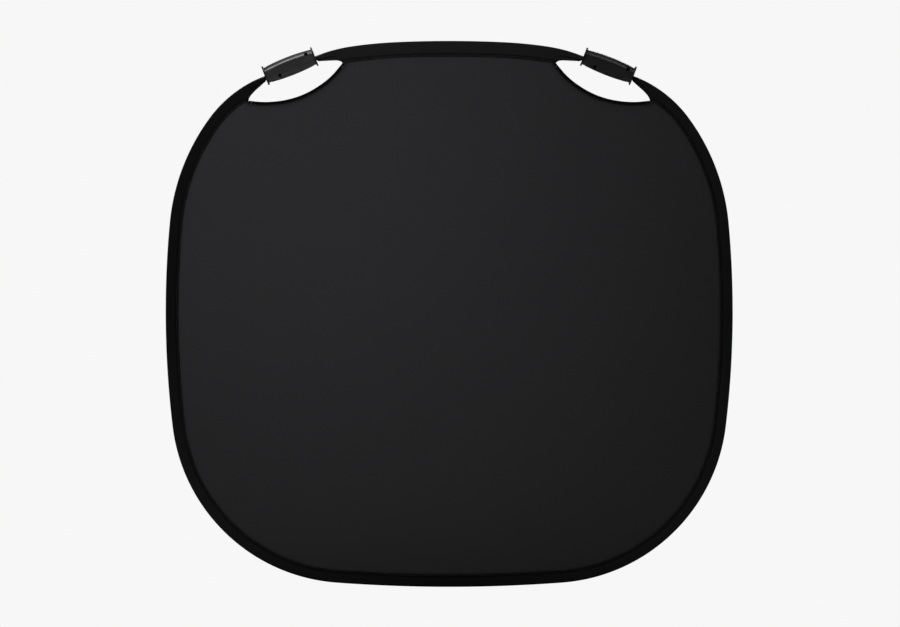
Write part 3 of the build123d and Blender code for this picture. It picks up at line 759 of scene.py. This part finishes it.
def cloth_bulge(sign):
    """How far the cloth stands out from the mid-plane: flat under the tape, then free, with the creases that its tension leaves."""
    x, z = FLAT[:, 0], FLAT[:, 1]
    w = seam_width(ALONG)
    past = DEPTH - w                       # distance inside the tape's inner edge
    y = 0.72 + 0.30 * smooth(past, 0.0, 14.0) + 0.35 * smooth(past, 14.0, 220.0)
    # slack that stays after the hoop has pulled the cloth tight
    y += 0.10 * smooth(past, 30, 160) * (wobble(x * 0.8 + z * 0.35, (331.0, 213.0), 31 + sign) + wobble(z - 0.4 * x, (287.0, 401.0), 33 + sign))
    # puckers along the seam
    y += 0.07 * wobble(ALONG, (13.5, 17.0, 23.0, 31.0), 41 + sign) * smooth(past, -2.0, 2.0) * np.exp(-np.maximum(past, 0) / 11.0)
    # creases that hang from the wide tape beside each opening's inner tip
    for side, amount in ((-1, 1.0), (1, 0.45)):
        a = side * x
        window = smooth(a, 150, 182) * (1 - smooth(a, 219, 233))
        fall = smooth(past, -1, 4) * np.exp(-np.maximum(past, 0) / 26.0)
        wave = np.cos(2 * np.pi * (a - 0.10 * (540 - z)) / 14.5) + 0.5 * np.cos(2 * np.pi * a / 9.7 + 1.1)
        y += amount * 0.36 * window * fall * wave
        # pull lines from the tips into the panel
        for (tx, tz), (dx, dz), long_, amp in (
            ((229.0, 530.0), (0.30, -0.954), 90.0, 0.20), ((229.0, 530.0), (-0.25, -0.968), 70.0, 0.15),
            ((425.0, 450.0), (-0.35, -0.937), 85.0, 0.16), ((425.0, 450.0), (0.25, -0.968), 60.0, 0.12),
        ):
            along_ = (a - tx) * dx + (z - tz) * dz
            off = (a - tx) * -dz + (z - tz) * dx
            spread_ = 4.0 + 0.10 * np.maximum(along_, 0)
            y += amount * amp * smooth(along_, 4, 22) * np.exp(-np.maximum(along_, 0) / long_) * np.exp(-((off / spread_) ** 2))
    # the turned hem beside the opening: a doubled strip with a sunk stitch line on its inner side
    turned = smooth(LOWD, 1.0, 4.0) * (1 - smooth(LOWD, 9.6, 12.2))
    y += 0.42 * turned + 0.03 * wobble(LOWA, (11.0, 17.0), 51) * turned
    y -= 0.16 * np.exp(-(((LOWD - 10.0) / 0.9) ** 2))
    # under the hem binding and under the tape it is pressed flat
    y = np.where(LOWD < 7.5, np.minimum(y, 0.95 + 0.3 * smooth(LOWD, 5.5, 7.5)), y)
    y = np.where(past < 0.5, np.minimum(y, 0.80), y)
    return y


def make_cloth(name, sign, mat, thickness):
    y = cloth_bulge(sign)
    verts = np.stack([FLAT[:, 0], sign * y, FLAT[:, 1]], axis=1)
    # painted shade on the black cloth: darker near the openings' edges and just inside the tape's seam, carried in the
    # edge attribute
    edge = np.exp(-np.maximum(LOWD - 7.0, 0) / 4.2) * (LOWD < 60) if sign < 0 else np.zeros(len(FLAT))
    seam = np.exp(-np.maximum(DEPTH - seam_width(ALONG), 0) / 1.6) * 0.55 if sign < 0 else np.zeros(len(FLAT))
    ob = new_mesh(name, verts, TRIS, mat, uv=FLAT * MM, attrs={"edge": np.maximum(edge, seam)})
    me = ob.data
    nrm = np.zeros(len(me.polygons) * 3, np.float32)
    me.polygons.foreach_get("normal", nrm)
    if nrm.reshape(-1, 3)[:, 1].mean() * sign < 0:
        me.flip_normals()
    fold(ob)
    m = ob.modifiers.new("cloth_thickness", "SOLIDIFY")
    m.thickness = thickness * MM
    m.offset = -1.0
    return ob


front_cloth = make_cloth("front_cloth_black", -1, BLACK_CLOTH, 0.5)
back_cloth = make_cloth("back_cloth_white", 1, WHITE_CLOTH, 0.5)
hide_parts("front_fabric_left", "front_fabric_right")
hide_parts("back_fabric_left", "back_fabric_right")

# ============================================================ bound hems of the hand openings
HEM_W = 8.2
HEM_SECTION = [  # (depth from the opening's edge, half thickness), nose to inner edge
    (0.0, 0.0), (0.05, 0.75), (0.4, 1.45), (1.1, 1.95), (2.2, 2.20), (3.6, 2.20), (5.2, 2.02), (6.8, 1.82), (7.7, 1.66), (8.1, 1.48), (HEM_W, 1.25),
]


def make_hem(name, side):
    line, at = LOWER_LINE, LOWER_AT
    n = LOW_N
    sec = np.array(HEM_SECTION)
    long_ = LOWER_LONG
    ends = np.minimum(smooth(at, 0.0, 9.0), smooth(long_ - at, 0.0, 9.0))
    nu = len(line)
    rows, uvs, bands = [], [], []
    # a slight random pucker along the hem's middle rows
    pucker = 0.10 * wobble(at, (9.0, 12.5, 19.0), 61 + side)
    for sign in (-1, 1):
        order = range(len(sec) - 1, 0, -1) if sign < 0 else range(len(sec))
        for j in order:
            dd = sec[j, 0] * (0.82 + 0.18 * ends) + (0.12 * wobble(at, (23.0, 37.0), 71 + j) if j > 6 else 0.0)
            yy = sec[j, 1] * (0.55 + 0.45 * ends) + (pucker * (0.5 if 2 < j < 9 else 0.0))
            rows.append((dd, sign * yy))
            uvs.append(sign * j * 0.9)
            # the band darkens the binding towards its nose: partly a blacker edging, partly painted shade of the rolled
            # edge
            bands.append(np.full(nu, (1.0, 1.0, 1.0, 1.0, 1.0, 0.9, 0.6, 0.25, 0.0, 0.0, 0.0)[j]))
    for sign in (1, -1):
        inner = [(8.1, 1.0), (5.5, 1.45), (3.0, 1.65), (1.2, 1.2)] if sign > 0 else [(1.2, 1.2), (3.0, 1.65), (5.5, 1.45), (8.1, 1.0)]
        for d0, y0 in inner:
            rows.append((d0 * (0.82 + 0.18 * ends), sign * y0 * (0.5 + 0.5 * ends)))
            uvs.append(sign * 4.0)
            bands.append(np.zeros(nu))
    D = np.stack([np.broadcast_to(a, (nu,)) for a, _ in rows], axis=1)
    Y = np.stack([np.broadcast_to(b, (nu,)) for _, b in rows], axis=1)
    P = np.stack([side * (line[:, 0, None] - D * n[:, 0, None]), Y, line[:, 1, None] - D * n[:, 1, None]], axis=-1)
    nv = D.shape[1]
    faces = strip_faces(nu, nv, True).tolist()
    faces.append(list(range(nv))[::-1])
    faces.append([(nu - 1) * nv + k for k in range(nv)])
    U = np.stack([np.repeat((at * MM)[:, None], nv, axis=1), np.repeat((np.array(uvs) * MM)[None, :], nu, axis=0)], axis=-1)
    ob = new_mesh(name, P.reshape(-1, 3), faces, HEM, uv=U.reshape(-1, 2), attrs={"band": np.stack(bands, axis=1).ravel(), "shade": np.ones(nu * nv)})
    fix_normals(ob)
    return ob


hem_left, hem_right = make_hem("hem_binding_left", -1), make_hem("hem_binding_right", 1)
for ob, n in ((hem_left, "opening_hem_left"), (hem_right, "opening_hem_right")):
    fold(ob)
    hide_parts(n)

# ============================================================ stitching
CAPSULE_RINGS = ((-0.5, 0.0), (-0.47, 0.55), (-0.34, 0.95), (0.0, 1.0), (0.34, 0.95), (0.47, 0.55), (0.5, 0.0))


def stitches(points, tangents, sign, height, long_, thick, tilt=0.0):
    """Thread stitches: small capsules lying on the cloth. points and tangents are x, z arrays; height is the cloth's half thickness there."""
    verts, faces = [], []
    sides = 6
    ang = np.linspace(0, 2 * np.pi, sides, endpoint=False)
    for k, ((px, pz), (tx, tz)) in enumerate(zip(points, tangents)):
        ca, sa = math.cos(tilt), math.sin(tilt)
        tx, tz = tx * ca - tz * sa, tx * sa + tz * ca
        nx_, nz_ = -tz, tx
        y0 = sign * (height[k] + thick * 0.16)
        base = len(verts)
        for r, rad in CAPSULE_RINGS:
            lift = -abs(r) ** 2 * thick * 2.2 * sign
            if rad == 0.0:
                verts.append((px + tx * r * long_, y0 + lift, pz + tz * r * long_))
                continue
            for a in ang:
                o, h = math.cos(a) * rad * thick / 2, math.sin(a) * rad * thick / 2
                verts.append((px + tx * r * long_ + nx_ * o, y0 + lift + h, pz + tz * r * long_ + nz_ * o))
        rings = len(CAPSULE_RINGS) - 2
        first = base + 1
        for j in range(sides):
            faces.append((base, first + (j + 1) % sides, first + j))
            for q in range(rings - 1):
                a0, b0 = first + q * sides, first + (q + 1) * sides
                faces.append((a0 + j, a0 + (j + 1) % sides, b0 + (j + 1) % sides, b0 + j))
            e = first + (rings - 1) * sides
            faces.append((e + j, e + (j + 1) % sides, e + sides))
    return verts, faces


def rim_row(t0, t1, pitch, depth_of):
    t = np.arange(t0, t1, pitch)
    x, z, nx, nz, s, side = rim_frame(t)
    d = depth_of(t, s)
    pts = np.stack([x - d * nx, z - d * nz], axis=1)
    tan = np.stack([nz, -nx], axis=1)
    return t, pts, tan


def tape_height(ob, pts, sign, fallback):
    """The half thickness of a piece's surface under each point, by casting a ray at it along y."""
    out = np.full(len(pts), fallback)
    for k, (a, b) in enumerate(pts):
        hit, loc, _, _ = ob.ray_cast(Vector((a * MM, sign * 0.05, b * MM)), Vector((0, -sign, 0)))
        if hit:
            out[k] = abs(loc.y) / MM
    return out


def gather_rows(sign):
    verts, faces = [], []

    def put(pts, tan, height, long_, thick, tilt=0.0):
        v, f = stitches(pts, tan, sign, height, long_, thick, tilt)
        off = len(verts)
        verts.extend(v)
        faces.extend(tuple(i + off for i in q) for q in f)

    for lower, t0, t1, ob in ((False, -TIP_IN + 3, TIP_IN - 3, tape_top), (True, TIP_OUT + 4, 2 * HALF - TIP_OUT - 4, tape_low)):
        for back, pitch in ((1.5, 3.9), (3.9, 3.9)):
            def depth_of(t, s, back=back, lower=lower):
                return tape_widths(s, lower)[1] - back + 0.0
            t, pts, tan = rim_row(t0, t1, pitch, depth_of)
            put(pts, tan, tape_height(ob, pts, sign, 1.75), 2.9, 0.62)
    for side, ob in ((-1, hem_left), (1, hem_right)):
        k = np.arange(5.0, LOWER_LONG - 5.0, 3.6)
        lx, lz = np.interp(k, LOWER_AT, LOWER_LINE[:, 0]), np.interp(k, LOWER_AT, LOWER_LINE[:, 1])
        n0, n1 = np.interp(k, LOWER_AT, LOW_N[:, 0]), np.interp(k, LOWER_AT, LOW_N[:, 1])
        pts = np.stack([side * (lx - 6.7 * n0), lz - 6.7 * n1], axis=1)
        tan = np.stack([side * n1, -n0], axis=1)
        put(pts, tan, tape_height(ob, pts, sign, 1.85), 2.7, 0.58)
        # close bar tacks where the tape, the hem and the cloth meet at both tips
        for place in (7.0, LOWER_LONG - 7.0):
            lx, lz = np.interp(place, LOWER_AT, LOWER_LINE[:, 0]), np.interp(place, LOWER_AT, LOWER_LINE[:, 1])
            n0, n1 = np.interp(place, LOWER_AT, LOW_N[:, 0]), np.interp(place, LOWER_AT, LOW_N[:, 1])
            q = np.arange(1.6, 7.4, 0.62)
            pts = np.stack([side * (lx - q * n0), lz - q * n1], axis=1)
            tan = np.repeat([[side * n1, -n0]], len(q), axis=0)
            put(pts, tan, tape_height(ob, pts, sign, 1.9), 3.4, 0.5)
    return verts, faces


bpy.context.view_layer.update()
for sign, name, mat in ((-1, "seam_stitching_front", THREAD), (1, "seam_stitching_back", WHITE_THREAD)):
    v, f = gather_rows(sign)
    ob = new_mesh(name, np.array(v), f, mat)
    fold(ob)

# the turned hem's own row, sewn through the black cloth only
v, f = [], []
bpy.context.view_layer.update()
for side in (-1, 1):
    k = np.arange(8.0, LOWER_LONG - 12.0, 3.4)
    lx, lz = np.interp(k, LOWER_AT, LOWER_LINE[:, 0]), np.interp(k, LOWER_AT, LOWER_LINE[:, 1])
    n0, n1 = np.interp(k, LOWER_AT, LOW_N[:, 0]), np.interp(k, LOWER_AT, LOW_N[:, 1])
    pts = np.stack([side * (lx - 10.0 * n0), lz - 10.0 * n1], axis=1)
    tan = np.stack([side * n1, -n0], axis=1)
    vv, ff = stitches(pts, tan, -1, tape_height(front_cloth, pts, -1, 1.2), 2.5, 0.45)
    off = len(v)
    v.extend(vv)
    f.extend(tuple(i + off for i in q) for q in ff)
turned_row = new_mesh("turned_hem_stitching", np.array(v), f, THREAD)
fold(turned_row)

# ============================================================ hoop and ferrule inside the tape
FERRULE_T = None


def bottom_t(x):
    """Distance clockwise from the top centre of the point at this x on the bottom run."""
    r = SEGS[-1][3]
    return HALF - r * math.asin(x / r)


BAND_SECTION = [(1.2, -3.8), (1.2, 3.8), (1.32, 3.97), (1.5, 4.0), (2.1, 4.0), (2.28, 3.97), (2.4, 3.8), (2.4, -3.8), (2.28, -3.97), (2.1, -4.0), (1.5, -4.0), (1.32, -3.97)]
gap = bottom_t(-110.0)
t_band = run(gap + 0.3, gap + 2 * HALF - 0.3, 6.0, 6.0, [])
t_band = np.where(t_band > 2 * HALF, t_band - 2 * HALF, t_band)
x, z, nx, nz, _, _ = rim_frame(t_band)
sec = np.array(BAND_SECTION)
P = np.stack([x[:, None] - sec[None, :, 0] * nx[:, None], np.repeat(sec[None, :, 1], len(x), 0), z[:, None] - sec[None, :, 0] * nz[:, None]], axis=-1)
faces = strip_faces(len(x), len(sec), True).tolist()
faces += [list(range(len(sec)))[::-1], [(len(x) - 1) * len(sec) + k for k in range(len(sec))]]
hoop = new_mesh("spring_hoop", P.reshape(-1, 3), faces, SPRING, smooth_shade=False)
fix_normals(hoop)
fold(hoop)
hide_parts("hoop_left", "hoop_right")

tf = np.linspace(bottom_t(-110.0) - 25.0, bottom_t(-110.0) + 25.0, 61)
x, z, nx, nz, _, _ = rim_frame(tf)
place = tf - bottom_t(-110.0)
dent = sum(np.exp(-(((place - q) / 1.6) ** 2)) for q in (-17.0, -11.0, 11.0, 17.0))
flare = smooth(np.abs(place), 23.5, 25.0)
outer, inner = [], []
for ang in np.linspace(0, 2 * np.pi, 28, endpoint=False):
    c, s_ = math.cos(ang), math.sin(ang)
    e = 0.35
    outer.append((1.8 + 1.15 * math.copysign(abs(c) ** e, c), 4.55 * math.copysign(abs(s_) ** e, s_)))
    inner.append((1.8 + 0.66 * math.copysign(abs(c) ** e, c), 4.06 * math.copysign(abs(s_) ** e, s_)))
outer, inner = np.array(outer), np.array(inner)
rows = []
for k in range(len(tf)):
    sc = 1.0 - 0.16 * dent[k] - 0.10 * flare[k]
    o = np.array([1.8, 0.0]) + (outer - [1.8, 0.0]) * [max(sc, 0.0), 1.0 - 0.02 * dent[k]]
    o = np.where(np.abs(o - [1.8, 0]) < np.abs(inner - [1.8, 0]) + 0.2, inner + np.sign(inner - [1.8, 0]) * 0.2, o)
    rows.append(o)
O = np.array(rows)
I = np.repeat(inner[None], len(tf), 0)


def along_rim(S):
    return np.stack([x[:, None] - S[:, :, 0] * nx[:, None], S[:, :, 1], z[:, None] - S[:, :, 0] * nz[:, None]], axis=-1)


po, pi_ = along_rim(O).reshape(-1, 3), along_rim(I).reshape(-1, 3)
m = len(inner)
fo, fi = strip_faces(len(tf), m, True), strip_faces(len(tf), m, True, flip=True) + len(po)
caps = []
for row, fl in ((0, False), (len(tf) - 1, True)):
    for j in range(m):
        q = [row * m + j, row * m + (j + 1) % m, len(po) + row * m + (j + 1) % m, len(po) + row * m + j]
        caps.append(q[::-1] if fl else q)
ferrule = new_mesh("crimp_ferrule", np.concatenate([po, pi_]), fo.tolist() + fi.tolist() + caps, CRIMP)
fix_normals(ferrule)
fold(ferrule)
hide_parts("hoop_ferrule")

# ============================================================ finishes of the carried-over CAD pieces
for name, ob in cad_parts.items():
    if "shell" in name:
        mat = PLASTIC[-1 if name.startswith("left") else 1]
    elif "screws" in name:
        mat = SCREW
    elif "liner" in name:
        mat = RUBBER
    else:
        continue
    ob.data.materials.clear()
    ob.data.materials.append(mat)

# ============================================================ floor, light, camera
scene = bpy.context.scene
scene.view_settings.view_transform = "Standard"
scene.view_settings.look = "None"
scene.view_settings.exposure = 0.0
scene.view_settings.gamma = 1.0

PALE = (0.930, 0.930, 0.930)
world = bpy.data.worlds.new("studio")
scene.world = world
world.use_nodes = True
wt = world.node_tree
bg = wt.nodes["Background"]
bg.inputs[0].default_value = (*PALE, 1)
bg.inputs[1].default_value = 1.0
dim = wt.nodes.new("ShaderNodeBackground")
dim.inputs[0].default_value = (1.0, 1.0, 1.02, 1)
dim.inputs[1].default_value = 0.02
lp = wt.nodes.new("ShaderNodeLightPath")
mixw = wt.nodes.new("ShaderNodeMixShader")
wt.links.new(lp.outputs["Is Camera Ray"], mixw.inputs[0])
wt.links.new(dim.outputs[0], mixw.inputs[1])
wt.links.new(bg.outputs[0], mixw.inputs[2])
wt.links.new(mixw.outputs[0], wt.nodes["World Output"].inputs[0])

fm = bpy.data.materials.new("pale_floor")
fm.use_nodes = True
ft = fm.node_tree
ft.nodes.clear()
em = ft.nodes.new("ShaderNodeEmission")
em.inputs[0].default_value = (*PALE, 1)
em.inputs[1].default_value = 1.0
df = ft.nodes.new("ShaderNodeBsdfDiffuse")
df.inputs[0].default_value = (0.0, 0.0, 0.0, 1)
ad = ft.nodes.new("ShaderNodeAddShader")
out = ft.nodes.new("ShaderNodeOutputMaterial")
ft.links.new(em.outputs[0], ad.inputs[0])
ft.links.new(df.outputs[0], ad.inputs[1])
ft.links.new(ad.outputs[0], out.inputs[0])
floor_z = CAD_BOX[0].z - 0.002
fmesh = bpy.data.meshes.new("floor")
fmesh.from_pydata([(-40, -40, floor_z), (40, -40, floor_z), (40, 40, floor_z), (-40, 40, floor_z)], [], [(0, 1, 2, 3)])
fmesh.materials.append(fm)
floor = bpy.data.objects.new("floor", fmesh)
scene.collection.objects.link(floor)
floor.visible_diffuse = False
floor.visible_glossy = False


def softbox(name, place, aim, size, watts, colour=(1, 1, 1)):
    la = bpy.data.lights.new(name, "AREA")
    la.shape = "RECTANGLE"
    la.size, la.size_y = size
    la.energy = watts
    la.color = colour
    ob = bpy.data.objects.new(name, la)
    ob.location = place
    ob.rotation_mode = "QUATERNION"
    ob.rotation_quaternion = (Vector(aim) - Vector(place)).to_track_quat("-Z", "Y")
    scene.collection.objects.link(ob)
    return ob


LIGHTS = {
    "near_front": ((-0.30, -1.25, 0.30), (-0.30, 0, 0.30), (0.4, 0.4), 10.2, False),
    "key_high_left": ((-1.1, -1.5, 2.0), (0, 0, 0.2), (1.0, 0.6), 16.0, False),
    "soft_high_left": ((-1.15, -1.6, 2.0), (-0.3, 0, 0.5), (1.1, 1.5), 56.0, True),
    "overhead_left": ((-0.75, -0.5, 2.3), (-0.34, 0, 0.53), (0.9, 1.0), 15.0, True),
    "soft_high_right": ((1.15, -1.5, 2.1), (0.34, 0, 0.5), (0.8, 1.3), 9.0, True),
    "low_card": ((0.0, -0.45, -0.5), (0.0, -0.2, 0.6), (1.6, 0.6), 4.0, True),
    "back_high": ((1.2, 3.0, 2.2), (0, 0, 0), (2.0, 1.2), 40.0, True),
}
for name, (place, aim, size, watts, glossy) in LIGHTS.items():
    lamp = softbox(name, place, aim, size, watts)
    lamp.visible_glossy = glossy
    lamp.visible_diffuse = name not in ("soft_high_left", "soft_high_right", "overhead_left", "low_card")
    lamp.visible_camera = False

cam_data = bpy.data.cameras.new("camera")
cam_data.sensor_width = 36.0
CAM_D = 7.0
VIEW_W = 1.2 / 565.66 * 900 / 1.0011
cam_data.lens = 36.0 * CAM_D / VIEW_W
cam_data.clip_start, cam_data.clip_end = 0.05, 200.0
cam = bpy.data.objects.new("camera", cam_data)
cam.location = (0.0017, -CAM_D, 0.0008)
cam.rotation_mode = "QUATERNION"
cam.rotation_quaternion = Vector((0, 1, 0)).to_track_quat("-Z", "Y")
scene.collection.objects.link(cam)
scene.camera = cam
